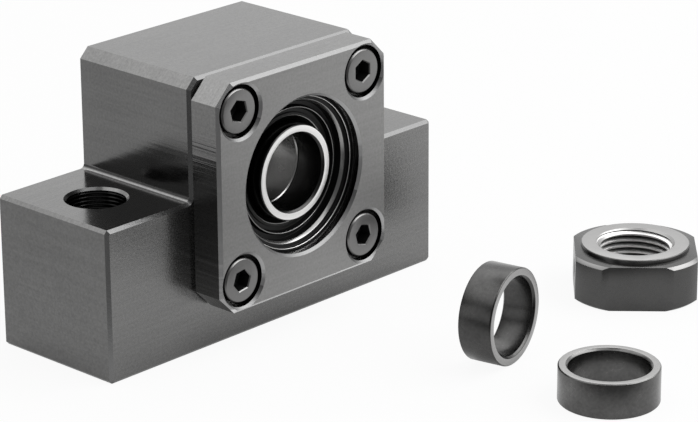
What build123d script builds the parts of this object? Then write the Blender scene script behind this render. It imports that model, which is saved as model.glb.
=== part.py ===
from build123d import *
import os
from math import radians, sqrt, tan

# Fixed-end bearing unit for a ball screw, in millimetres.
# The base stands on z = 0 and is centred on x = y = 0. The shaft runs along Y, and the cover looks to -Y.

# Housing
housing_depth = 24.0
base_width = 70.0
base_height = 24.0
block_width = 36.0
block_height = 43.0
shaft_height = 25.0
step_fillet = 0.8
top_chamfer = 1.6
housing_edge_break = 0.5
mount_hole_spacing = 52.0
mount_hole_diameter = 9.0
mount_hole_chamfer = 0.4

# Cover and its four socket cap screws
cover_thickness = 6.0
cover_foot_height = 7.0
cover_corner = 3.0
cover_edge_break = 0.5
spigot_length = 1.5
screw_edge_distance = 4.75
screw_thread_diameter = 4.0
screw_length = 10.0
screw_head_diameter = 7.0
screw_head_height = 4.0
screw_head_break = 0.25
screw_end_chamfer = 0.5
screw_hex_size = 3.0
screw_hex_depth = 2.2
screw_recess = 0.4
screw_hex_turns = {"ul": 44.0, "ur": 30.0, "ll": 9.0, "lr": 45.0}
counterbore_diameter = 8.2
counterbore_chamfer = 0.4
screw_hole_diameter = 4.5
tapped_hole_spare_depth = 2.0
drill_point_angle = 118.0

# Two angular contact ball bearings, face to face
bearing_bore = 12.0
bearing_outer_diameter = 28.0
bearing_width = 8.0
bearing_corner = 0.3
bearing_bore_corner = 0.15
ball_diameter = 4.762
ball_circle = 20.0
ball_count = 10
inner_high_shoulder = 17.4
inner_low_shoulder = 15.7
outer_high_shoulder = 22.6
outer_low_shoulder = 24.3
relief_taper = 0.1

# Ball cages, moulded rings with one round pocket to a ball
cage_width = 6.8
cage_wall = 2.0

# Oil seals, one in the cover and one in the back of the housing
seal_seat_diameter = 24.5
seal_seat_chamfer = 0.4
seal_inset = 1.9
seal_width = 3.6
seal_case_wall = 0.4
seal_case_step = 0.6
seal_ledge = 0.6
seal_bevel = 0.35
seal_bevel_depth = 0.5
seal_groove_depth = 2.3
seal_ridge_reach = 2.2
seal_ridge_width = 0.15
seal_ridge_depth = 1.55
seal_ridge_flare = 0.2
seal_shelf_reach = 0.85
seal_shelf_width = 0.5
seal_shelf_depth = 2.2
seal_lip_depth = 3.0
seal_lip_edge = 0.15
seal_back_corner = 0.2

# Collars beside the bearings, and the two spacer rings of the same form
collar_outer_diameter = 15.0
collar_length = 5.5
collar_bore_chamfer = 0.35
collar_rim_chamfer = 0.17

# Lock nut with its set screw and pad
nut_diameter = 22.0
nut_flats = 19.0
nut_body_height = 7.2
nut_seat_diameter = 17.0
nut_seat_height = 0.8
nut_seat_break = 0.12
nut_thread_diameter = 12.0
nut_thread_pitch = 1.0
nut_countersink_diameter = 12.4
nut_rim_chamfer = 0.6
nut_rim_flat = 19.4
set_screw_diameter = 3.0
set_screw_length = 2.2
set_screw_inset = 0.2
set_screw_hex_size = 1.5
set_screw_hex_depth = 1.2
set_screw_end_chamfer = 0.3
pad_length = 0.9

# Fits
seat_clearance = 0.02
thread_clearance = 0.05
race_clearance = 0.03
lip_clearance = 0.05
pocket_clearance = 0.1

# Where the loose pieces lie: how far ahead of the cover, and how far to the side of the shaft
nut_ahead = 15.3
nut_aside = 47.1
nut_turn = 41.1
flat_ring_ahead = 43.4
flat_ring_aside = 10.2
upright_ring_ahead = 26.7
upright_ring_aside = 11.1
upright_ring_turn = 11.3

# Places along the shaft, worked out from the sizes above
housing_front = -housing_depth / 2
housing_back = housing_depth / 2
cover_front = housing_front - cover_thickness
bearing_front = housing_front + spigot_length
bearing_middle = bearing_front + bearing_width
bearing_back = bearing_middle + bearing_width
shaft_radius = bearing_bore / 2
collar_radius = collar_outer_diameter / 2

SHAFT_LINE = Pos(0, 0, shaft_height)
SAME_PLACE = 0.001


def save(solid, node):
    solid.label = node
    export_step(solid, f"parts/{node}.step")


def turned(*points):
    """A body of revolution about Y. Each point is a radius and a place along the axis."""
    return revolve(make_face(Polyline(*points, close=True)), Axis.Y)


def disc(diameter, start, end):
    """A round bar along Y from start to end."""
    return turned((0, start), (diameter / 2, start), (diameter / 2, end), (0, end))


def cone(start_diameter, start, end_diameter, end):
    """A cone frustum along Y from start to end."""
    return turned((0, start), (start_diameter / 2, start), (end_diameter / 2, end), (0, end))


def drill_point(diameter, start):
    """The cone that a drill leaves at the end of a hole along Y."""
    length = diameter / 2 / tan(radians(drill_point_angle / 2))
    return turned((0, start), (diameter / 2, start), (0, start + length))


def hexagon_bar(size, start, end, turn=0.0):
    """A hexagonal bar along Y, size across its flats, with a corner at turn degrees from +X."""
    front = Plane(origin=(0, start, 0), x_dir=(1, 0, 0), z_dir=(0, -1, 0))
    outline = Rot(0, 0, turn) * RegularPolygon(radius=size / sqrt(3), side_count=6)
    return extrude(front * outline, -(end - start))


def corners_at(face, half_width):
    """The corners of a symmetrical face at half_width on either side, lowest first."""
    found = face.vertices().filter_by(lambda corner: abs(abs(corner.X) - half_width) < SAME_PLACE)
    return found.sort_by(Axis.Y)


def housing_outline():
    """The T-shaped front view of the housing, as a face in the XZ plane."""
    half_base = base_width / 2
    half_block = block_width / 2
    outline = Polyline(
        (-half_base, 0),
        (half_base, 0),
        (half_base, base_height),
        (half_block, base_height),
        (half_block, block_height),
        (-half_block, block_height),
        (-half_block, base_height),
        (-half_base, base_height),
        close=True,
    )
    face = make_face(outline)
    face = fillet(corners_at(face, half_block)[:2], step_fillet)
    face = chamfer(corners_at(face, half_block)[-2:], top_chamfer)
    return chamfer(corners_at(face, half_base), housing_edge_break)


def housing_blank():
    blank = extrude(Plane.XZ * housing_outline(), housing_depth / 2, both=True)
    ends = blank.faces().filter_by(Axis.Y)
    return chamfer([edge for end in ends for edge in end.edges()], housing_edge_break)


def housing_bore():
    """The stepped bore: a seat for the bearings from the front, and one for the rear seal."""
    seat = bearing_outer_diameter + 2 * seat_clearance
    lead = 2 * housing_edge_break
    mouth = 2 * seal_seat_chamfer
    return SHAFT_LINE * (
        disc(seat, housing_front, bearing_back)
        + cone(seat + lead, housing_front, seat, housing_front + housing_edge_break)
        + disc(seal_seat_diameter, bearing_back, housing_back)
        + cone(seal_seat_diameter, housing_back - seal_seat_chamfer, seal_seat_diameter + mouth, housing_back)
    )


def mounting_hole(side):
    """One hole down through a foot, with a small chamfer at each end. Turned along Y, then stood up."""
    wide = mount_hole_diameter + 2 * mount_hole_chamfer
    hole = (
        disc(mount_hole_diameter, 0, base_height)
        + cone(wide, 0, mount_hole_diameter, mount_hole_chamfer)
        + cone(mount_hole_diameter, base_height - mount_hole_chamfer, wide, base_height)
    )
    return Pos(side * mount_hole_spacing / 2, 0, 0) * Rot(90, 0, 0) * hole


def screw_places():
    """The cover screws by corner, each as x and z."""
    x = block_width / 2 - screw_edge_distance
    top = block_height - screw_edge_distance
    bottom = cover_foot_height + screw_edge_distance
    return {"ul": (-x, top), "ur": (x, top), "ll": (-x, bottom), "lr": (x, bottom)}


def tapped_hole(x, z):
    screw_end = cover_front + screw_recess + screw_head_height + screw_length
    wall = screw_thread_diameter + 2 * thread_clearance
    end = screw_end + tapped_hole_spare_depth
    return Pos(x, 0, z) * (disc(wall, housing_front, end) + drill_point(wall, end))


def make_housing():
    housing = housing_blank() - housing_bore()
    for side in (-1, 1):
        housing -= mounting_hole(side)
    for x, z in screw_places().values():
        housing -= tapped_hole(x, z)
    return housing


def cover_plate():
    height = block_height - cover_foot_height
    plate = Rectangle(block_width, height)
    plate = chamfer(plate.vertices(), cover_corner)
    front = Plane(
        origin=(0, cover_front, cover_foot_height + height / 2), x_dir=(1, 0, 0), z_dir=(0, -1, 0)
    )
    blank = extrude(front * plate, -cover_thickness)
    return chamfer(blank.faces().filter_by(Axis.Y).edges(), cover_edge_break)


def cover_screw_hole():
    """The counterbored hole of one cover screw, on the Y axis."""
    floor = cover_front + screw_recess + screw_head_height
    wide = counterbore_diameter + 2 * counterbore_chamfer
    return (
        disc(counterbore_diameter, cover_front, floor)
        + cone(wide, cover_front, counterbore_diameter, cover_front + counterbore_chamfer)
        + disc(screw_hole_diameter, floor, housing_front)
    )


def make_cover():
    """The plate, with a spigot that centres in the housing and clamps the outer rings."""
    spigot = disc(bearing_outer_diameter - 2 * seat_clearance, housing_front, bearing_front)
    mouth = seal_seat_diameter + 2 * seal_seat_chamfer
    bore = disc(seal_seat_diameter, cover_front, bearing_front) + cone(
        mouth, cover_front, seal_seat_diameter, cover_front + seal_seat_chamfer
    )
    cover = cover_plate() + SHAFT_LINE * spigot - SHAFT_LINE * bore
    for x, z in screw_places().values():
        cover -= Pos(x, 0, z) * cover_screw_hole()
    return cover


def make_cover_screw(corner):
    x, z = screw_places()[corner]
    top = cover_front + screw_recess
    under = top + screw_head_height
    end = under + screw_length
    head = screw_head_diameter / 2
    shank = screw_thread_diameter / 2
    screw = turned(
        (0, top),
        (head - screw_head_break, top),
        (head, top + screw_head_break),
        (head, under),
        (shank, under),
        (shank, end - screw_end_chamfer),
        (shank - screw_end_chamfer, end),
        (0, end),
    )
    socket = hexagon_bar(screw_hex_size, top, top + screw_hex_depth, screw_hex_turns[corner])
    return Pos(x, 0, z) * (screw - socket - drill_point(screw_hex_size, top + screw_hex_depth))


def race_groove():
    """The ring-shaped space that the balls run in."""
    radius = ball_diameter / 2 + race_clearance
    return revolve(Pos(ball_circle / 2, 0) * Circle(radius), Axis.Y)


def inner_ring():
    """An inner ring centred on y = 0, with its high shoulder on the +Y side."""
    bore = bearing_bore / 2
    corner = bearing_bore_corner
    end = bearing_width / 2
    high = inner_high_shoulder / 2
    low = inner_low_shoulder / 2
    ring = turned(
        (bore + corner, -end),
        (bore, corner - end),
        (bore, end - corner),
        (bore + corner, end),
        (high, end),
        (high, 0),
        (low, 0),
        (low - relief_taper, -end),
    )
    return ring - race_groove()


def outer_ring():
    """An outer ring centred on y = 0, with its high shoulder on the -Y side."""
    rim = bearing_outer_diameter / 2
    end = bearing_width / 2
    high = outer_high_shoulder / 2
    low = outer_low_shoulder / 2
    ring = turned(
        (rim - bearing_corner, -end),
        (high, -end),
        (high, 0),
        (low, 0),
        (low + relief_taper, end),
        (rim - bearing_corner, end),
        (rim, end - bearing_corner),
        (rim, bearing_corner - end),
    )
    return ring - race_groove()


def around(count, solid):
    """Copies of a solid, evenly spaced about the Y axis."""
    return [Rot(0, step * 360 / count, 0) * solid for step in range(count)]


def cage():
    middle = ball_circle / 2
    end = cage_width / 2
    ring = turned(
        (middle - cage_wall / 2, -end),
        (middle + cage_wall / 2, -end),
        (middle + cage_wall / 2, end),
        (middle - cage_wall / 2, end),
    )
    pocket = Pos(middle, 0, 0) * Rot(0, 90, 0) * Cylinder(ball_diameter / 2 + pocket_clearance, 2 * cage_wall)
    return ring - around(ball_count, pocket)


def ball():
    return Pos(ball_circle / 2, 0, 0) * Sphere(ball_diameter / 2)


def bearing_place(which):
    """The front bearing as drawn, or the rear one turned end for end."""
    if which == "front":
        return SHAFT_LINE * Pos(0, bearing_front + bearing_width / 2, 0)
    return SHAFT_LINE * Pos(0, bearing_middle + bearing_width / 2, 0) * Rot(0, 0, 180)


def seal():
    """A lip seal with its open face at y = 0 and its back towards +Y."""
    rim = seal_seat_diameter / 2 - seat_clearance
    case = rim - seal_case_wall
    ledge = case - seal_ledge
    wall = ledge - seal_bevel
    lip = collar_radius + lip_clearance
    ridge = lip + seal_ridge_reach
    shelf = lip + seal_shelf_reach
    return turned(
        (rim, 0),
        (case, 0),
        (case, seal_case_step),
        (ledge, seal_case_step),
        (wall, seal_case_step + seal_bevel_depth),
        (wall, seal_groove_depth),
        (ridge + seal_ridge_width + seal_ridge_flare, seal_groove_depth),
        (ridge + seal_ridge_width, seal_ridge_depth),
        (ridge, seal_ridge_depth),
        (ridge - seal_ridge_flare, seal_groove_depth + seal_ridge_flare),
        (shelf + seal_shelf_width, seal_groove_depth + seal_ridge_flare),
        (shelf + seal_shelf_width, seal_shelf_depth),
        (shelf, seal_shelf_depth),
        (lip, seal_lip_depth),
        (lip, seal_lip_depth + seal_lip_edge),
        (shelf, seal_width),
        (rim - seal_back_corner, seal_width),
        (rim, seal_width - seal_back_corner),
    )


def collar():
    """A collar from y = 0 to its length, with both ends alike."""
    bore = shaft_radius
    rim = collar_radius
    end = collar_length
    return turned(
        (bore + collar_bore_chamfer, 0),
        (rim - collar_rim_chamfer, 0),
        (rim, collar_rim_chamfer),
        (rim, end - collar_rim_chamfer),
        (rim - collar_rim_chamfer, end),
        (bore + collar_bore_chamfer, end),
        (bore, end - collar_bore_chamfer),
        (bore, collar_bore_chamfer),
    )


def make_front_seal():
    return SHAFT_LINE * Pos(0, cover_front + seal_inset, 0) * seal()


def make_rear_seal():
    return SHAFT_LINE * Pos(0, housing_back - seal_inset, 0) * Rot(0, 0, 180) * seal()


def make_flat_ring():
    """The spacer ring that lies flat, its axis upright."""
    y = cover_front - flat_ring_ahead - collar_radius
    return Pos(flat_ring_aside, y, 0) * Rot(90, 0, 0) * collar()


def make_upright_ring():
    """The spacer ring that stands on its rim, turned a little about the vertical."""
    y = cover_front - upright_ring_ahead - collar_length
    place = Pos(upright_ring_aside, y, collar_radius)
    return place * Rot(0, 0, upright_ring_turn) * collar()


def nut_body():
    """A disc with coned rims, cut by four flats, under a narrower ground seat."""
    rim = nut_diameter / 2
    flat = nut_rim_flat / 2
    top = nut_body_height
    seat = nut_seat_diameter / 2
    face = top + nut_seat_height
    blank = Rot(90, 0, 0) * turned(
        (0, 0),
        (flat, 0),
        (rim, nut_rim_chamfer),
        (rim, top - nut_rim_chamfer),
        (flat, top),
        (seat, top),
        (seat, face - nut_seat_break),
        (seat - nut_seat_break, face),
        (0, face),
    )
    return blank & Pos(0, 0, face / 2) * Box(nut_flats, nut_flats, face)


def nut_minor_diameter():
    """A metric internal thread reaches in from its nominal diameter by 5/8 of a sharp V on each side."""
    sharp_v = nut_thread_pitch * sqrt(3) / 2
    return nut_thread_diameter - 2 * sharp_v * 5 / 8


def nut_bore():
    face = nut_body_height + nut_seat_height
    minor = nut_minor_diameter()
    sink = (nut_countersink_diameter - minor) / 2
    bore = disc(minor, 0, face)
    bore += cone(nut_countersink_diameter, 0, minor, sink)
    bore += cone(minor, face - sink, nut_countersink_diameter, face)
    return Rot(90, 0, 0) * bore


def nut_side(solid):
    """Lifts a solid made along Y so that it points out through the middle of the nut's +Y flat."""
    return Pos(0, 0, nut_body_height / 2) * solid


def place_nut(solid):
    y = cover_front - nut_ahead - nut_diameter / 2
    return Pos(nut_aside, y, 0) * Rot(0, 0, nut_turn) * solid


def make_lock_nut():
    hole = disc(set_screw_diameter + 2 * thread_clearance, 0, nut_diameter)
    return place_nut(nut_body() - nut_bore() - nut_side(hole))


def set_screw_outer_end():
    return nut_flats / 2 - set_screw_inset


def make_set_screw():
    outer = set_screw_outer_end()
    inner = outer - set_screw_length
    radius = set_screw_diameter / 2
    screw = turned(
        (0, inner),
        (radius - set_screw_end_chamfer, inner),
        (radius, inner + set_screw_end_chamfer),
        (radius, outer - set_screw_end_chamfer),
        (radius - set_screw_end_chamfer, outer),
        (0, outer),
    )
    socket = hexagon_bar(set_screw_hex_size, outer - set_screw_hex_depth, outer)
    return place_nut(nut_side(screw - socket))


def make_pad():
    outer = set_screw_outer_end() - set_screw_length
    return place_nut(nut_side(disc(set_screw_diameter, outer - pad_length, outer)))


def save_bearings():
    for which in ("front", "rear"):
        place = bearing_place(which)
        save(place * outer_ring(), f"{which}_bearing_outer_ring")
        save(place * inner_ring(), f"{which}_bearing_inner_ring")
        save(place * cage(), f"{which}_bearing_cage")
        for number, one in enumerate(around(ball_count, ball()), start=1):
            save(place * one, f"{which}_ball_{number}")


save(make_housing(), "housing")
save(make_cover(), "cover")
for number, corner in enumerate(screw_places(), start=1):
    save(make_cover_screw(corner), f"cover_screw_{number}")
save_bearings()
save(make_front_seal(), "front_seal")
save(make_rear_seal(), "rear_seal")
save(SHAFT_LINE * Pos(0, bearing_front - collar_length, 0) * collar(), "front_collar")
save(SHAFT_LINE * Pos(0, bearing_back, 0) * collar(), "rear_collar")
save(make_flat_ring(), "spacer_ring_1")
save(make_upright_ring(), "spacer_ring_2")
save(make_lock_nut(), "lock_nut")
save(make_set_screw(), "lock_nut_set_screw")
save(make_pad(), "lock_nut_pad")
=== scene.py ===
import math
import bpy
from mathutils import Matrix, Vector


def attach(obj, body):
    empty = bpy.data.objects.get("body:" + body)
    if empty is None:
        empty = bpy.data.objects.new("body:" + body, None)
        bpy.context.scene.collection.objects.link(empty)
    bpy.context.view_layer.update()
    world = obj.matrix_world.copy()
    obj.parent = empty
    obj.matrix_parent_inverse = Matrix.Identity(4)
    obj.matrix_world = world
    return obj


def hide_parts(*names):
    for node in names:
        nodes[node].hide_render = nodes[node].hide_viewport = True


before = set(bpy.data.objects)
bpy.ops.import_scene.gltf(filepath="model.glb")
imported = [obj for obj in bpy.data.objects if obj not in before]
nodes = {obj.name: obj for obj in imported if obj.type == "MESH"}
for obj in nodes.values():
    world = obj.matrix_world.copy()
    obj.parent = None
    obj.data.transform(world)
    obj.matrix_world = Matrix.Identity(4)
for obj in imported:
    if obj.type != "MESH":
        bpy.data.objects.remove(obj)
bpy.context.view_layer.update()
bpy.ops.object.select_all(action="DESELECT")
mm = 0.001
mergeGap = 0.000001
cutGap = 0.0000001
print("frame loaded:", len(nodes), "nodes")


class Value:
    # wraps a socket, so that sums on it can be written out; each sum adds one Math node
    def __init__(self, finish, socket):
        self.finish = finish
        self.socket = socket

    def sum(self, operation, first, second):
        return self.finish.node("ShaderNodeMath", {"operation": operation}, {0: first, 1: second})

    def __add__(self, other):
        return self.sum("ADD", self, other)

    def __radd__(self, other):
        return self.sum("ADD", other, self)

    def __sub__(self, other):
        return self.sum("SUBTRACT", self, other)

    def __rsub__(self, other):
        return self.sum("SUBTRACT", other, self)

    def __mul__(self, other):
        return self.sum("MULTIPLY", self, other)

    def __rmul__(self, other):
        return self.sum("MULTIPLY", other, self)

    def __gt__(self, other):
        return self.sum("GREATER_THAN", self, other)

    def __lt__(self, other):
        return self.sum("LESS_THAN", self, other)

    def __abs__(self):
        return self.sum("ABSOLUTE", self, 0.0)


class Finish:
    # one material or world tree, and the single way that nodes get into it
    def __init__(self, tree):
        self.tree = tree
        self.tree.nodes.clear()

    def node(self, kind, settings=None, sockets=None, output=0):
        made = self.tree.nodes.new(kind)
        for setting, value in (settings or {}).items():
            setattr(made, setting, value)
        for name, value in (sockets or {}).items():
            socket = made.inputs[name]
            if isinstance(value, Value):
                self.tree.links.new(value.socket, socket)
            else:
                socket.default_value = value
        return Value(self, made.outputs[output]) if len(made.outputs) else made


def newFinish(name):
    material = bpy.data.materials.new(name)
    material.use_nodes = True
    return material, Finish(material.node_tree)


def closeFinish(finish, surface):
    finish.node("ShaderNodeOutputMaterial", {}, {"Surface": surface})


def shade(level, tint=(1.0, 1.0, 1.0)):
    return (level * tint[0], level * tint[1], level * tint[2], 1.0)


def blend(finish, factor, first, second):
    return finish.node("ShaderNodeMix", {"data_type": "RGBA"}, {0: factor, 6: first, 7: second}, output=2)


def axisOf(finish, vector, axis):
    # one number of a vector: 0 is X, 1 is Y and 2 is Z
    return finish.node("ShaderNodeSeparateXYZ", {}, {0: vector}, output=axis)


def grain(finish, place, scale, detail=2.0, stretch=(1.0, 1.0, 1.0)):
    # noise about 0.5, stretched along an axis to look brushed
    laid = finish.node("ShaderNodeMapping", {}, {"Vector": place, "Scale": stretch})
    return finish.node("ShaderNodeTexNoise", {}, {"Vector": laid, "Scale": scale, "Detail": detail})


# Ground steel, blackened, with painted light on the fronts and painted highlights on the edges: strokes and
# grains are counted to a metre, and shares add up to one
groundBlack = {
    "low": 0.075, "high": 0.262, "tint": (1.0, 0.995, 0.985), "frontPaintedLight": 0.09,
    "roughness": 0.17, "roughnessSpread": 0.14, "frontRoughness": 0.27,
    "fineAcross": 2600.0, "fineAlong": 70.0, "passAcross": 1150.0, "passAlong": 14.0,
    "speckScale": 2500.0, "cloudScale": 90.0,
    "fineShare": 0.22, "passShare": 0.12, "cloudShare": 0.18, "speckShare": 0.48,
    "bumpDistance": 0.00004, "bump": 0.11, "bumpFine": 0.6, "bumpSpeck": 0.4,
    "passBump": 0.3, "frontBump": 0.35,
    # painted highlights: the colours of the edge bevels
    "edge": 0.18, "topEdgeHighlight": 0.115, "lowEdgeHighlight": 0.18, "lowLine": 0.0078,
}
# the cover: more painted light on its front, and brighter painted highlights on its edges
coverBlack = {
    **groundBlack, "low": 0.08, "high": 0.30, "frontPaintedLight": 0.32, "frontRoughness": 0.40, "passBump": 1.7,
    "edge": 0.38, "topEdgeHighlight": 0.17, "lowEdgeHighlight": 0.8,
}
# how much of a face's normal lies along an axis, which tells tops, fronts, sides and edges apart
leans = {"top": 0.5, "front": 0.5, "frontFlat": 0.9, "side": 0.6, "slant": 0.3}
# the mounting holes, with painted shade on their walls, and the faint rings that the drill left in them
mountHoles = {"across": 0.026, "reach": 0.0047, "ringPitch": 0.0006, "ringBump": 2.4, "tone": 0.03}


def drillRings(finish, place, upwards):
    # a mask for the holes' walls, and the rings' height; bands repeat at every tenth of pi
    fromHole = abs(axisOf(finish, place, 0)) - mountHoles["across"]
    beside = axisOf(finish, place, 1)
    near = fromHole * fromHole + beside * beside < mountHoles["reach"] ** 2
    rings = finish.node("ShaderNodeTexWave", {"bands_direction": "Z"}, {
        "Vector": place, "Scale": math.pi / 10 / mountHoles["ringPitch"], "Distortion": 0.0})
    return near * (abs(upwards) < leans["slant"]), rings


def strokes(finish, place, onTop, lengthwise, crosswise):
    # the strokes lie level on upright faces, and run across the part on level ones
    upright = grain(finish, place, 1.0, 3.0, (lengthwise, lengthwise, crosswise))
    level = grain(finish, place, 1.0, 3.0, (lengthwise, crosswise, lengthwise))
    return upright + onTop * (level - upright)


def makeGroundBlack(name, values):
    material, finish = newFinish(name)
    place = finish.node("ShaderNodeTexCoord", output=3)
    normal = finish.node("ShaderNodeNewGeometry", output=1)
    upwards = axisOf(finish, normal, 2)
    alongShaft = abs(axisOf(finish, normal, 1))
    onTop = abs(upwards) > leans["top"]
    onFront = alongShaft > leans["front"]
    onEdge = onFront * (alongShaft < leans["frontFlat"])
    onSide = abs(axisOf(finish, normal, 0)) > leans["side"]
    inHole, rings = drillRings(finish, place, upwards)
    fine = strokes(finish, place, onTop, values["fineAlong"], values["fineAcross"])
    coarse = strokes(finish, place, onTop, values["passAlong"], values["passAcross"])
    speck = grain(finish, place, values["speckScale"], 2.0)
    cloud = grain(finish, place, values["cloudScale"], 3.0)
    tone = fine * values["fineShare"] + coarse * values["passShare"]
    tone = tone + cloud * values["cloudShare"] + speck * values["speckShare"]
    # painted light: faces that look along the shaft get a lighter colour
    toneWithFrontLight = tone + onFront * values["frontPaintedLight"]
    color = blend(finish, toneWithFrontLight, shade(values["low"]), shade(values["high"], values["tint"]))
    # painted highlights: bevelled edges get a lighter colour, set by which way they lean and by the lowest
    # line
    edge = blend(finish, upwards > leans["slant"], shade(values["edge"]), shade(values["topEdgeHighlight"]))
    lowest = (axisOf(finish, place, 2) < values["lowLine"]) * (upwards < -leans["slant"])
    edge = blend(finish, lowest, edge, shade(values["lowEdgeHighlight"]))
    color = blend(finish, onEdge, color, edge)
    # painted shade: the walls of the mounting holes are painted near black
    color = blend(finish, inHole, color, shade(mountHoles["tone"]))
    roughness = values["roughness"] + onFront * (values["frontRoughness"] - values["roughness"])
    roughness = roughness + values["roughnessSpread"] * (tone - 0.5)
    relief = (fine * values["bumpFine"] + speck * values["bumpSpeck"]) * values["bump"]
    relief = relief + onSide * coarse * values["passBump"] + onFront * speck * values["frontBump"]
    relief = relief + inHole * rings * mountHoles["ringBump"]
    bumped = finish.node("ShaderNodeBump", {}, {
        "Height": relief, "Strength": 1.0, "Distance": values["bumpDistance"]})
    surface = finish.node("ShaderNodeBsdfPrincipled", {}, {
        "Base Color": color, "Metallic": 1.0, "Roughness": roughness, "Normal": bumped})
    closeFinish(finish, surface)
    return material


turnedMetal = {"cloudScale": 350.0, "tint": (1.0, 0.99, 0.975), "spread": 0.12, "bumpDistance": 0.00001}


def makeTurned(name, low, high, roughness, fineScale, bump=0.12):
    # turned or ground metal with a fine grain
    values = turnedMetal
    material, finish = newFinish(name)
    place = finish.node("ShaderNodeTexCoord", output=3)
    fine = grain(finish, place, fineScale, 2.0)
    cloud = grain(finish, place, values["cloudScale"], 3.0)
    tone = fine * 0.5 + cloud * 0.5
    color = blend(finish, tone, shade(low), shade(high, values["tint"]))
    bumped = finish.node("ShaderNodeBump", {}, {
        "Height": fine, "Strength": bump, "Distance": values["bumpDistance"]})
    surface = finish.node("ShaderNodeBsdfPrincipled", {}, {
        "Base Color": color, "Metallic": 1.0,
        "Roughness": roughness + values["spread"] * (tone - 0.5), "Normal": bumped})
    closeFinish(finish, surface)
    return material


mouldedRubber = {
    "grain": 2500.0, "dark": 0.8, "light": 1.3, "gloss": 0.2, "spread": 0.1,
    "bump": 0.1, "bumpDistance": 0.00001,
}


def makeRubber(name, level, roughness):
    values = mouldedRubber
    material, finish = newFinish(name)
    place = finish.node("ShaderNodeTexCoord", output=3)
    fine = grain(finish, place, values["grain"], 2.0)
    color = blend(finish, fine, shade(level * values["dark"]), shade(level * values["light"]))
    bumped = finish.node("ShaderNodeBump", {}, {
        "Height": fine, "Strength": values["bump"], "Distance": values["bumpDistance"]})
    surface = finish.node("ShaderNodeBsdfPrincipled", {}, {
        "Base Color": color, "Specular IOR Level": values["gloss"],
        "Roughness": roughness + values["spread"] * (fine - 0.5), "Normal": bumped})
    closeFinish(finish, surface)
    return material


mouldedCage = {
    "low": (0.60, 0.54, 0.40, 1.0), "high": (0.74, 0.68, 0.54, 1.0),
    "grain": 500.0, "roughness": 0.45, "spread": 0.1,
}


def makeMoulded(name, values):
    # slightly mottled moulded plastic
    material, finish = newFinish(name)
    place = finish.node("ShaderNodeTexCoord", output=3)
    cloud = grain(finish, place, values["grain"], 3.0)
    surface = finish.node("ShaderNodeBsdfPrincipled", {}, {
        "Base Color": blend(finish, cloud, values["low"], values["high"]),
        "Roughness": values["roughness"] + values["spread"] * (cloud - 0.5)})
    closeFinish(finish, surface)
    return material


blockSteel = makeGroundBlack("blackened_steel", groundBlack)
coverSteel = makeGroundBlack("blackened_cover", coverBlack)
screwSteel = makeTurned("screw_steel", low=0.15, high=0.21, roughness=0.30, fineScale=3000.0)
socketShade = makeRubber("socket_painted_shade", level=0.006, roughness=0.6)
# the spacer rings' black steel in two copies: ring 1's painted lighter and ring 2's painted darker, as
# painted light and shade
spacerSideLit = makeTurned("spacer_side_painted_light", low=0.05, high=0.20, roughness=0.26, fineScale=2200.0, bump=0.4)
spacerSideShaded = makeTurned("spacer_side_painted_shade", low=0.026, high=0.10, roughness=0.26, fineScale=2200.0, bump=0.4)
ringGrey = makeTurned("spacer_ground", low=0.27, high=0.38, roughness=0.34, fineScale=3200.0, bump=0.2)
# the fitted collars: a darker copy of the spacers' black steel on their sides, as painted shade, and a
# brighter copy of the ground ends, as painted highlight, which also paints the seal's rim
collarSideShaded = makeTurned("collar_side_painted_shade", low=0.03, high=0.045, roughness=0.24, fineScale=2500.0)
brightSteelHighlight = makeTurned("bright_steel_painted_highlight", low=0.70, high=0.90, roughness=0.30, fineScale=5200.0)
nutBlack = makeTurned("nut_black", low=0.06, high=0.095, roughness=0.28, fineScale=2500.0)
nutSeat = makeTurned("nut_seat", low=0.29, high=0.37, roughness=0.36, fineScale=3500.0, bump=0.2)
nutThreadHighlight = makeTurned("nut_thread", low=0.68, high=0.84, roughness=0.42, fineScale=3500.0)
nutRootShade = makeTurned("nut_root_painted_shade", low=0.03, high=0.045, roughness=0.4, fineScale=2500.0)
bearingSteel = makeTurned("bearing_steel", low=0.30, high=0.46, roughness=0.26, fineScale=1500.0)
ballSteel = makeTurned("ball_steel", low=0.66, high=0.72, roughness=0.1, fineScale=1500.0)
sealRubber = makeRubber("seal_rubber", level=0.006, roughness=0.36)
sealCaseAndHighlight = makeTurned("seal_case_and_highlight", low=0.22, high=0.32, roughness=0.22, fineScale=2500.0)
cagePlastic = makeMoulded("cage_plastic", mouldedCage)
padBrass = makeTurned("pad_brass", low=0.45, high=0.6, roughness=0.35, fineScale=1500.0)
print("finishes made")


def startPiece(name, add, **settings):
    # a new primitive, open for editing and selected all over
    bpy.ops.object.select_all(action="DESELECT")
    add(**settings)
    piece = bpy.context.object
    piece.name = name
    piece.data.name = name
    bpy.ops.object.mode_set(mode="EDIT")
    bpy.ops.mesh.select_all(action="SELECT")
    return piece


def walkOutline(outline):
    # extrudes the selected circle along an outline of (radius, height) pairs
    radius, height = outline[0]
    for nextRadius, nextHeight in outline[1:]:
        rise = (nextHeight - height) * mm
        bpy.ops.mesh.extrude_region_move(TRANSFORM_OT_translate={"value": (0, 0, rise)})
        factor = nextRadius / radius
        bpy.ops.transform.resize(value=(factor, factor, 1), center_override=(0, 0, nextHeight * mm))
        radius, height = nextRadius, nextHeight


def tidyShell():
    bpy.ops.mesh.select_all(action="SELECT")
    bpy.ops.mesh.remove_doubles(threshold=mergeGap)
    bpy.ops.mesh.normals_make_consistent(inside=False)
    bpy.ops.object.mode_set(mode="OBJECT")


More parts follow.
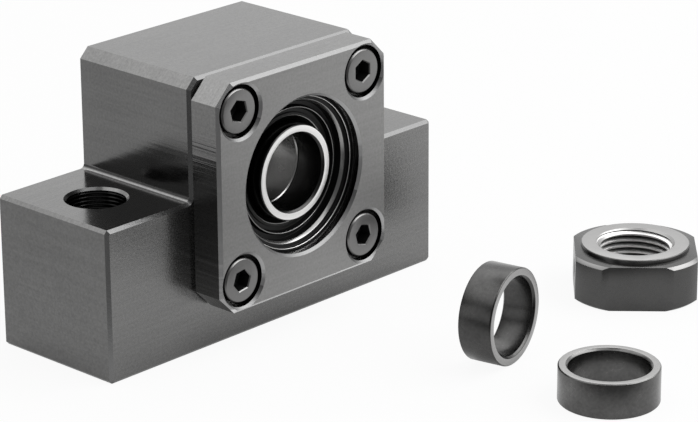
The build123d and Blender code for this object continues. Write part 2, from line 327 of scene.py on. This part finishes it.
def turnRing(name, outline, steps):
    # a ring: the outline goes all the way round its section
    radius, height = outline[0]
    piece = startPiece(name, bpy.ops.mesh.primitive_circle_add, vertices=steps, radius=radius * mm,
                       fill_type="NOTHING", location=(0, 0, height * mm))
    walkOutline(outline)
    bpy.ops.mesh.select_non_manifold(extend=False, use_wire=False, use_boundary=True,
                                     use_multi_face=False, use_non_contiguous=False, use_verts=False)
    bpy.ops.mesh.bridge_edge_loops()
    tidyShell()
    return piece


def turnBar(name, outline, steps):
    # a solid bar: the outline runs down its side, and both ends are closed
    radius, height = outline[0]
    piece = startPiece(name, bpy.ops.mesh.primitive_circle_add, vertices=steps, radius=radius * mm,
                       fill_type="NGON", location=(0, 0, height * mm))
    walkOutline(outline)
    tidyShell()
    return piece


def useOnly(piece):
    bpy.ops.object.select_all(action="DESELECT")
    piece.select_set(True)
    bpy.context.view_layer.objects.active = piece


def softenEdges(piece, width, segments=2, angle=25.0):
    useOnly(piece)
    bpy.ops.object.modifier_add(type="BEVEL")
    bevel = piece.modifiers[-1]
    bevel.width = width * mm
    bevel.segments = segments
    bevel.limit_method = "ANGLE"
    bevel.angle_limit = math.radians(angle)
    bevel.use_clamp_overlap = True
    bpy.ops.object.modifier_apply(modifier=bevel.name)


def cutAway(piece, tool):
    # takes the tool's shape out of the piece, and drops the tool
    useOnly(piece)
    bpy.ops.object.modifier_add(type="BOOLEAN")
    cut = piece.modifiers[-1]
    cut.operation = "DIFFERENCE"
    cut.solver = "EXACT"
    cut.object = tool
    bpy.ops.object.modifier_apply(modifier=cut.name)
    bpy.data.objects.remove(tool)


def seat(piece, where, turns=(0, 0, 0)):
    # moves the mesh to its place, so that the object itself stays at the origin
    useOnly(piece)
    piece.rotation_euler = [math.radians(turn) for turn in turns]
    piece.location = [value * mm for value in where]
    bpy.ops.object.transform_apply(location=True, rotation=True, scale=True)


def dress(piece, material, body, slot, *stoodFor):
    piece.data.materials.append(material)
    useOnly(piece)
    bpy.ops.object.shade_smooth_by_angle(angle=math.radians(30))
    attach(piece, body)
    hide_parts(*stoodFor)


def paintFaces(piece, material, chosen):
    # one more material, for the faces that chosen picks by radius and height in millimetres, and direction
    piece.data.materials.append(material)
    number = len(piece.data.materials) - 1
    for face in piece.data.polygons:
        middle = Vector(face.center) / mm
        if chosen(middle.xy.length, middle.z, face.normal.z):
            face.material_index = number


def copyPiece(piece, name):
    made = piece.copy()
    made.data = piece.data.copy()
    made.name = made.data.name = name
    bpy.context.scene.collection.objects.link(made)
    return made


# Collars and spacer rings, all of one form
collarSize = {
    "outer": 7.5, "inner": 6.0, "length": 5.5, "boreBreak": 0.35, "rimBreak": 0.17,
    "soft": 0.05, "steps": 160, "endFacing": 0.9,
}
shaftHeight = 25.0
coverFront = -18.0
collarPlaces = {
    "front_collar": ((0, -16.0, shaftHeight), (-90, 0, 0), "rotor", collarSideShaded, brightSteelHighlight),
    "rear_collar": ((0, 5.5, shaftHeight), (-90, 0, 0), "rotor", collarSideShaded, brightSteelHighlight),
    "spacer_ring_1": ((10.2, coverFront - 43.4 - 7.5, 0), (0, 0, 0), "housing", spacerSideLit, ringGrey),
    "spacer_ring_2": ((11.1, coverFront - 26.7 - 5.5, 7.5), (-90, 0, 11.3), "housing", spacerSideShaded, ringGrey),
}


def collarOutline(size):
    outer, inner, end = size["outer"], size["inner"], size["length"]
    bore, rim = size["boreBreak"], size["rimBreak"]
    return [
        (inner + bore, 0), (outer - rim, 0), (outer, rim), (outer, end - rim),
        (outer - rim, end), (inner + bore, end), (inner, end - bore), (inner, bore),
    ]


def onCollarEnd(radius, height, facing):
    return abs(facing) > collarSize["endFacing"]


def makeCollars():
    # the outline is turned once about Z; each copy is then laid in its place
    first = turnRing("collar_blank", collarOutline(collarSize), collarSize["steps"])
    softenEdges(first, collarSize["soft"])
    for name, (where, turns, body, black, ground) in collarPlaces.items():
        piece = copyPiece(first, name + "_skin")
        dress(piece, black, body, "collar_steel", name)
        paintFaces(piece, ground, onCollarEnd)
        seat(piece, where, turns)
    bpy.data.objects.remove(first)


makeCollars()
print("collars and spacer rings made")


# The seals: depths run inwards from the rim that shows
sealSize = {
    "rim": 12.23, "case": 11.83, "caseStep": 0.6, "ledge": 11.23, "wall": 10.88, "bevelDepth": 0.5,
    "groove": 2.3, "ridgeFoot": 10.10, "ridgeOut": 9.90, "ridgeIn": 9.75, "ridgeDepth": 1.55,
    "ridgeSlope": 0.2, "floorRise": 0.2, "shelfOut": 8.90, "shelfIn": 8.40, "shelfDepth": 2.2,
    "lip": 7.55, "lipDepth": 3.0, "lipEdge": 0.15, "width": 3.6, "corner": 0.2, "soft": 0.07, "steps": 192,
}
sealPlaces = {
    "front_seal": ((0, -16.1, shaftHeight), (-90, 0, 0)),
    "rear_seal": ((0, 10.1, shaftHeight), (90, 0, 0)),
}
# how far the painted highlights reach past each edge, and the directions that they take
sealPaint = {
    "wall": 0.02, "ledge": 0.08, "depth": 0.07, "ridge": 0.15, "shelfIn": 0.1, "shelfOut": 0.08,
    "rimDepth": 0.08, "rim": 0.06, "notLevel": 0.97, "outwards": 0.3,
}


def sealOutline(size):
    depth, floor = size["groove"], size["groove"] + size["floorRise"]
    return [
        (size["rim"], 0), (size["case"], 0), (size["case"], size["caseStep"]),
        (size["ledge"], size["caseStep"]), (size["wall"], size["caseStep"] + size["bevelDepth"]),
        (size["wall"], depth), (size["ridgeFoot"], depth), (size["ridgeOut"], size["ridgeDepth"]),
        (size["ridgeIn"], size["ridgeDepth"]), (size["ridgeIn"] - size["ridgeSlope"], floor),
        (size["shelfOut"], floor), (size["shelfOut"], size["shelfDepth"]),
        (size["shelfIn"], size["shelfDepth"]), (size["lip"], size["lipDepth"]),
        (size["lip"], size["lipDepth"] + size["lipEdge"]), (size["shelfIn"], size["width"]),
        (size["rim"] - size["corner"], size["width"]), (size["rim"], size["width"] - size["corner"]),
    ]


def onSealHighlight(radius, height, facing):
    # painted highlights: the bevel of the case and the tops of the ridge and shelf get a metal finish, on
    # faces that look outwards
    size, paint = sealSize, sealPaint
    onBevel = size["wall"] + paint["wall"] < radius < size["ledge"] + paint["ledge"]
    aboveBevel = height < size["caseStep"] + size["bevelDepth"]
    ledge = onBevel and aboveBevel and abs(facing) < paint["notLevel"]
    ridgeMiddle = (size["ridgeOut"] + size["ridgeIn"]) / 2
    ridge = height < size["ridgeDepth"] + paint["depth"] and abs(radius - ridgeMiddle) < paint["ridge"]
    onShelf = size["shelfIn"] - paint["shelfIn"] < radius < size["shelfIn"] + paint["shelfOut"]
    shelf = height < size["shelfDepth"] + paint["depth"] and onShelf
    return facing < paint["outwards"] and (ledge or ridge or shelf)


def onSealRimHighlight(radius, height, facing):
    # the rounded inner edge of the case's rim, painted bright as a highlight
    paint = sealPaint
    inside = height < paint["rimDepth"] and radius < sealSize["case"] + paint["rim"]
    return inside and -paint["notLevel"] < facing < paint["outwards"]


def makeSeals():
    first = turnRing("seal_blank", sealOutline(sealSize), sealSize["steps"])
    softenEdges(first, sealSize["soft"], segments=3)
    for name, (where, turns) in sealPlaces.items():
        piece = copyPiece(first, name + "_skin")
        dress(piece, sealRubber, "housing", "seal_rubber", name)
        # painted highlights on the seal's case, ridge and shelf, and on the rim's inner edge
        paintFaces(piece, sealCaseAndHighlight, onSealHighlight)
        paintFaces(piece, brightSteelHighlight, onSealRimHighlight)
        seat(piece, where, turns)
    bpy.data.objects.remove(first)


makeSeals()
print("seals made")


screwSize = {
    "head": 3.5, "headHeight": 4.0, "headBreak": 0.25, "shank": 2.0, "length": 10.0, "endBreak": 0.5,
    "socket": 3.0, "socketDepth": 2.2, "socketPoint": 0.9, "mouth": 0.16, "soft": 0.06, "top": -17.6,
    "steps": 72, "darkRadius": 1.78, "darkStart": 0.17, "darkEnd": 3.4,
}
# where each stands across and up, and how far its hexagon is turned
screwPlaces = {
    "cover_screw_1": (-13.25, 38.25, 44.0), "cover_screw_2": (13.25, 38.25, 30.0),
    "cover_screw_3": (-13.25, 11.75, 9.0), "cover_screw_4": (13.25, 11.75, 45.0),
}
# the hexagon tool starts a little above the face, and its cone stops short of a point
hexShape = {"above": 0.05, "tipShare": 0.08, "zeroTurn": 30.0}


def hexTool(acrossFlats, depth, point, mouth, turn):
    # a hexagon bar with a coned point, and a wider mouth where it enters the metal
    corner = acrossFlats / math.sqrt(3)
    start = -hexShape["above"]
    piece = startPiece("hex_tool", bpy.ops.mesh.primitive_circle_add, vertices=6,
                       radius=(corner + mouth) * mm, fill_type="NGON", location=(0, 0, start * mm))
    walkOutline([
        (corner + mouth, start), (corner + mouth, 0.0), (corner, mouth), (corner, depth),
        (corner * hexShape["tipShare"], depth + point)])
    bpy.ops.mesh.select_all(action="SELECT")
    bpy.ops.transform.rotate(value=math.radians(turn - hexShape["zeroTurn"]), orient_axis="Z",
                             center_override=(0, 0, 0))
    tidyShell()
    return piece


# painted shade: the inside of the hexagon socket is painted near black
def inScrewSocketShade(radius, height, facing):
    return radius < screwSize["darkRadius"] and screwSize["darkStart"] < height < screwSize["darkEnd"]


def makeScrews():
    size = screwSize
    head, high, shank = size["head"], size["headHeight"], size["shank"]
    end = high + size["length"]
    for name, (x, z, turn) in screwPlaces.items():
        piece = turnBar(name + "_skin", [
            (head - size["headBreak"], 0), (head, size["headBreak"]), (head, high), (shank, high),
            (shank, end - size["endBreak"]), (shank - size["endBreak"], end)], size["steps"])
        softenEdges(piece, size["soft"])
        cutAway(piece, hexTool(size["socket"], size["socketDepth"], size["socketPoint"], size["mouth"], turn))
        dress(piece, screwSteel, "housing", "screw_steel", name)
        paintFaces(piece, socketShade, inScrewSocketShade)
        seat(piece, (x, size["top"], z), (-90, 0, 0))


makeScrews()
print("cover screws made")


nutSize = {
    "rim": 11.0, "flats": 9.5, "height": 7.2, "rimFlat": 10.45, "rimBreak": 0.45,
    "soft": 0.05, "softAngle": 20.0, "seat": 8.5, "seatHeight": 0.8, "seatBreak": 0.12, "countersink": 6.2,
    "sideHole": 1.55, "sideReach": 13.0, "where": (47.1, -44.3, 0.0), "turn": 41.1,
    "steps": 160, "sideSteps": 64,
}
# the outline of one turn is in shares of the pitch; the rest says how far the tools stand past the nut
threadSize = {
    "major": 6.05, "minor": 5.459, "pitch": 1.0, "steps": 96, "crest": 0.25, "flank": 0.3125, "root": 0.125,
    "turnsBelow": 2, "turnsMore": 4, "pastEnds": 0.8, "sinkPast": 0.2, "sinkDeeper": 0.1,
}
nutPaint = {
    "bore": 0.02, "notLevel": 0.95, "down": -0.75, "root": 0.1, "rootUpright": 0.3,
    "sinkDepth": 0.75, "sinkFacing": 0.707, "sinkSpread": 0.08, "seatDepth": 0.01, "seatFacing": 0.9,
    "cornerWidth": 0.8, "cornerFrom": 0.3,
}


def makeTap():
    # one turn of the thread's outline, swept up a helix, then cut off square at both ends
    thread = threadSize
    pitch, major, minor = thread["pitch"], thread["major"], thread["minor"]
    top = nutSize["height"] + nutSize["seatHeight"]
    piece = startPiece("tap", bpy.ops.mesh.primitive_plane_add, size=mm)
    bpy.ops.mesh.merge(type="CENTER")
    bpy.ops.transform.translate(value=(minor * mm, 0, -thread["turnsBelow"] * pitch * mm))
    outline = [
        (0, thread["crest"]), (major - minor, thread["flank"]), (0, thread["root"]),
        (minor - major, thread["flank"])]
    for across, up in outline:
        step = (across * mm, 0, up * pitch * mm)
        bpy.ops.mesh.extrude_region_move(TRANSFORM_OT_translate={"value": step})
    bpy.ops.object.mode_set(mode="OBJECT")
    bpy.ops.object.modifier_add(type="SCREW")
    sweep = piece.modifiers[-1]
    sweep.screw_offset = pitch * mm
    sweep.iterations = int(top / pitch) + thread["turnsMore"]
    sweep.steps = sweep.render_steps = thread["steps"]
    sweep.use_merge_vertices = True
    sweep.merge_threshold = mergeGap
    bpy.ops.object.modifier_apply(modifier=sweep.name)
    bpy.ops.object.mode_set(mode="EDIT")
    bpy.ops.mesh.select_all(action="SELECT")
    bpy.ops.mesh.remove_doubles(threshold=2 * mergeGap)
    for height, below in ((-thread["pastEnds"], True), (top + thread["pastEnds"], False)):
        bpy.ops.mesh.select_all(action="SELECT")
        bpy.ops.mesh.bisect(plane_co=(0, 0, height * mm), plane_no=(0, 0, 1), use_fill=True,
                            clear_inner=below, clear_outer=not below, threshold=cutGap)
    tidyShell()
    return piece


def inNutBore(radius, height, facing):
    return radius < nutSize["countersink"] - nutPaint["bore"] and abs(facing) < nutPaint["notLevel"]


def inNutRootShade(radius, height, facing):
    # painted shade: the roots and the flanks that look down are painted dark
    root = radius > threadSize["major"] - nutPaint["root"] and abs(facing) < nutPaint["rootUpright"]
    return inNutBore(radius, height, facing) and (facing < nutPaint["down"] or root)


def onNutSeat(radius, height, facing):
    # the seat and its countersink
    top = nutSize["height"] + nutSize["seatHeight"]
    slanted = abs(facing - nutPaint["sinkFacing"]) < nutPaint["sinkSpread"]
    sink = radius < nutSize["countersink"] and height > top - nutPaint["sinkDepth"] and slanted
    level = height > top - nutPaint["seatDepth"] and facing > nutPaint["seatFacing"]
    return level or sink


def onNutCornerHighlight(radius, height, facing):
    # painted highlights on the bevels left at the nut's four corners
    outside = radius > nutSize["rimFlat"] - nutPaint["cornerWidth"]
    high = height > nutSize["height"] - nutSize["rimBreak"]
    return outside and high and nutPaint["cornerFrom"] < facing < nutPaint["notLevel"]


def makeNut():
    size, thread = nutSize, threadSize
    rim, flat, high = size["rim"], size["rimFlat"], size["height"]
    top = high + size["seatHeight"]
    nut = turnBar("lock_nut_skin", [
        (flat, 0), (rim, size["rimBreak"]), (rim, high - size["rimBreak"]), (flat, high),
        (size["seat"], high), (size["seat"], top - size["seatBreak"]),
        (size["seat"] - size["seatBreak"], top)], size["steps"])
    useOnly(nut)
    bpy.ops.object.mode_set(mode="EDIT")
    for normal in ((1, 0, 0), (-1, 0, 0), (0, 1, 0), (0, -1, 0)):
        bpy.ops.mesh.select_all(action="SELECT")
        bpy.ops.mesh.bisect(plane_co=[value * size["flats"] * mm for value in normal], plane_no=normal,
                            use_fill=True, clear_outer=True, threshold=cutGap)
    tidyShell()
    softenEdges(nut, size["soft"], angle=size["softAngle"])
    minor, wide = thread["minor"], size["countersink"]
    past, deeper = thread["sinkPast"], thread["sinkDeeper"]
    for face, inwards in ((0.0, 1), (top, -1)):
        cutAway(nut, turnBar("sink_tool", [
            (wide + past, face - past * inwards),
            (minor - deeper, face + (wide - minor + deeper) * inwards)], size["steps"]))
    cutAway(nut, makeTap())
    hole = turnBar("side_tool", [
        (size["sideHole"], 0), (size["sideHole"], size["sideReach"])], size["sideSteps"])
    seat(hole, (0, 0, high / 2), (-90, 0, 0))
    cutAway(nut, hole)
    dress(nut, nutBlack, "housing", "nut_steel", "lock_nut")
    # painted highlight: the thread in the bore is painted light; painted shade: its roots and down-facing
    # flanks are painted dark
    paintFaces(nut, nutThreadHighlight, inNutBore)
    paintFaces(nut, nutRootShade, inNutRootShade)
    paintFaces(nut, nutSeat, onNutSeat)
    # painted highlight: the corner bevels take the lighter screw steel
    paintFaces(nut, screwSteel, onNutCornerHighlight)
    seat(nut, size["where"], (0, 0, size["turn"]))


setScrewSize = {
    "radius": 1.5, "length": 2.2, "end": 0.3, "steps": 64, "inset": 0.2,
    "socket": 1.5, "socketDepth": 1.0, "socketPoint": 0.2, "mouth": 0.08, "turn": 0,
}


def makeSetScrew():
    size = setScrewSize
    radius, end = size["radius"], size["end"]
    piece = turnBar("lock_nut_set_screw_skin", [
        (radius - end, 0), (radius, end), (radius, size["length"] - end), (radius - end, size["length"])],
        size["steps"])
    cutAway(piece, hexTool(
        size["socket"], size["socketDepth"], size["socketPoint"], size["mouth"], size["turn"]))
    dress(piece, screwSteel, "housing", "screw_steel", "lock_nut_set_screw")
    # its open end is at z = 0 and has to face outwards
    seat(piece, (0, nutSize["flats"] - size["inset"], nutSize["height"] / 2), (90, 0, 0))
    seat(piece, nutSize["where"], (0, 0, nutSize["turn"]))


makeNut()
makeSetScrew()
print("lock nut made")


# The machined solids keep their shape and take a finish
solidFinishes = {
    "housing": blockSteel, "cover": coverSteel,
    "front_bearing_outer_ring": bearingSteel, "front_bearing_inner_ring": bearingSteel,
    "rear_bearing_outer_ring": bearingSteel, "rear_bearing_inner_ring": bearingSteel,
    "front_bearing_cage": cagePlastic, "rear_bearing_cage": cagePlastic, "lock_nut_pad": padBrass,
}
for name, node in nodes.items():
    material = ballSteel if "_ball_" in name else solidFinishes.get(name)
    if material is not None:
        for place in node.material_slots:
            place.material = material
print("finishes given")


def ease(finish, value, start, end, low, high):
    # a soft step from low to high as the value goes from start to end
    return finish.node("ShaderNodeMapRange", {"interpolation_type": "SMOOTHSTEP"}, {
        "Value": value, "From Min": start, "From Max": end, "To Min": low, "To Max": high})


def along(finish, place, direction):
    return finish.node("ShaderNodeVectorMath", {"operation": "DOT_PRODUCT"}, {
        0: place, 1: direction}, output=1)


awayFromCamera = (0.7265, 0.687, 0.0)
towardsCamera = (-0.7265, -0.687, 0.0)
cameraRight = (0.687, -0.7265, 0.0)
# The paper: each edge says where one level of the light that metal sees gives way to the next
paperLight = {
    "shade": 0.8, "whiteShare": 0.93, "mirrorShare": 0.85, "size": 6.0,
    "frontEdge": (0.036, 0.07), "darkPatchEdge": (-0.016, -0.006), "frontLevels": (0.35, 0.03),
    "sideEdge": (-0.09, 0.09), "sideLevels": (0.75, 1.2), "footReach": 0.015, "footLevel": 0.38,
}


def makeFloor():
    # white paper; in what metal sees, its glow is painted: it falls off in front of the part, changes from
    # left to right, and is darkened near the parts as painted shade
    values = paperLight
    material, finish = newFinish("floor_paper")
    camera = finish.node("ShaderNodeLightPath", output=0)
    glossy = finish.node("ShaderNodeLightPath", output=3)
    place = finish.node("ShaderNodeTexCoord", output=3)
    aside = along(finish, place, cameraRight)
    # painted shade: a darker patch on the paper in front of the part
    paintedDarkPatch = ease(finish, aside, *values["darkPatchEdge"], *values["frontLevels"])
    front = ease(finish, along(finish, place, towardsCamera), *values["frontEdge"], 1.0, paintedDarkPatch)
    side = ease(finish, aside, *values["sideEdge"], *values["sideLevels"])
    # painted shade on the paper close to the parts
    near = finish.node("ShaderNodeAmbientOcclusion", {"samples": 4}, {
        "Distance": values["footReach"]}, output=1)
    footShade = ease(finish, near, 0.0, 1.0, values["footLevel"], 1.0)
    paper = finish.node("ShaderNodeBsdfDiffuse", {}, {"Color": shade(values["shade"])})
    seen = camera + glossy * front * side * footShade
    glow = finish.node("ShaderNodeEmission", {}, {"Color": shade(1.0), "Strength": seen})
    share = camera * values["whiteShare"] + glossy * values["mirrorShare"]
    closeFinish(finish, finish.node("ShaderNodeMixShader", {}, {0: share, 1: paper, 2: glow}))
    bpy.ops.object.select_all(action="DESELECT")
    bpy.ops.mesh.primitive_plane_add(size=values["size"], location=(0, 0, 0))
    floor = bpy.context.object
    floor.name = "floor"
    floor.data.materials.append(material)


# The room that metal sees: walls, a bright back wall, a bright roof with a dark slot, a glow on the left
roomLight = {
    "wallLevel": 0.2, "backEdge": (-0.1, 0.6), "backLevel": 0.9, "softShare": 0.5,
    "roofEdge": (0.42, 0.8), "roofLevel": 1.7, "behindEdge": (0.45, 0.65), "behindLevel": 0.15,
    "leftLight": (-0.95, 0.30, 0.1), "leftEdge": (0.90, 0.97), "leftLevel": 0.9,
    "slotStart": (-0.30, -0.20), "slotEnd": (0.0, 0.08), "slotHeight": (0.86, 0.95), "slotDepth": 0.95,
}


def makeWorld():
    # white to the camera, and the room to all else
    values = roomLight
    world = bpy.data.worlds.new("studio")
    world.use_nodes = True
    bpy.context.scene.world = world
    finish = Finish(world.node_tree)
    camera = finish.node("ShaderNodeLightPath", output=0)
    glossy = finish.node("ShaderNodeLightPath", output=3)
    direction = finish.node("ShaderNodeTexCoord", output=0)
    up = along(finish, direction, (0.0, 0.0, 1.0))
    aside = along(finish, direction, cameraRight)
    behind = along(finish, direction, towardsCamera)
    ahead = along(finish, direction, awayFromCamera)
    back = ease(finish, ahead, *values["backEdge"], 0.0, values["backLevel"])
    slot = ease(finish, aside, *values["slotStart"], 0.0, 1.0)
    slot = slot * ease(finish, aside, *values["slotEnd"], 1.0, 0.0)
    slot = slot * ease(finish, up, *values["slotHeight"], 0.0, values["slotDepth"])
    roof = ease(finish, up, *values["roofEdge"], 0.0, values["roofLevel"]) * (1.0 - slot)
    roof = roof * ease(finish, behind, *values["behindEdge"], 1.0, values["behindLevel"])
    leftward = along(finish, direction, values["leftLight"])
    left = ease(finish, leftward, *values["leftEdge"], 0.0, values["leftLevel"])
    seen = values["wallLevel"] + back * (1.0 - slot) + roof + left
    soft = values["softShare"] + (1.0 - values["softShare"]) * glossy
    level = camera + (1.0 - camera) * seen * soft
    background = finish.node("ShaderNodeBackground", {}, {"Color": shade(1.0), "Strength": level})
    finish.node("ShaderNodeOutputWorld", {}, {"Surface": background})


keyLamp = {"where": (0.366, -0.431, 0.50), "size": (0.84, 0.5), "watts": 3.9, "aim": (0.0, -0.02, 0.02)}


def makeLamp(name, values):
    lamp = bpy.data.lights.new(name, "AREA")
    lamp.shape = "RECTANGLE"
    lamp.size, lamp.size_y = values["size"]
    lamp.energy = values["watts"]
    holder = bpy.data.objects.new(name, lamp)
    bpy.context.scene.collection.objects.link(holder)
    holder.location = values["where"]
    aim = Vector(values["aim"]) - Vector(values["where"])
    holder.rotation_euler = aim.to_track_quat("-Z", "Y").to_euler()


# worked out for a picture of 698 x 422: angles in radians, the focal length in its pixels
view = {
    "turn": 0.8131, "tilt": 0.3485, "roll": -0.0068, "where": (-0.32029, -0.33005, 0.18173),
    "focal": 3151.45, "width": 698, "sensor": 36.0,
}


def makeCamera():
    camera = bpy.data.cameras.new("camera")
    camera.sensor_width = view["sensor"]
    camera.lens = view["focal"] / view["width"] * camera.sensor_width
    holder = bpy.data.objects.new("camera", camera)
    bpy.context.scene.collection.objects.link(holder)
    aim = Matrix.Rotation(-view["turn"], 3, "Z") @ Matrix.Rotation(math.pi / 2 - view["tilt"], 3, "X")
    holder.rotation_euler = (aim @ Matrix.Rotation(view["roll"], 3, "Z")).to_euler()
    holder.location = view["where"]
    bpy.context.scene.camera = holder


makeFloor()
makeWorld()
makeLamp("keyLamp", keyLamp)
makeCamera()
bpy.context.scene.view_settings.view_transform = "Standard"
print("studio set")
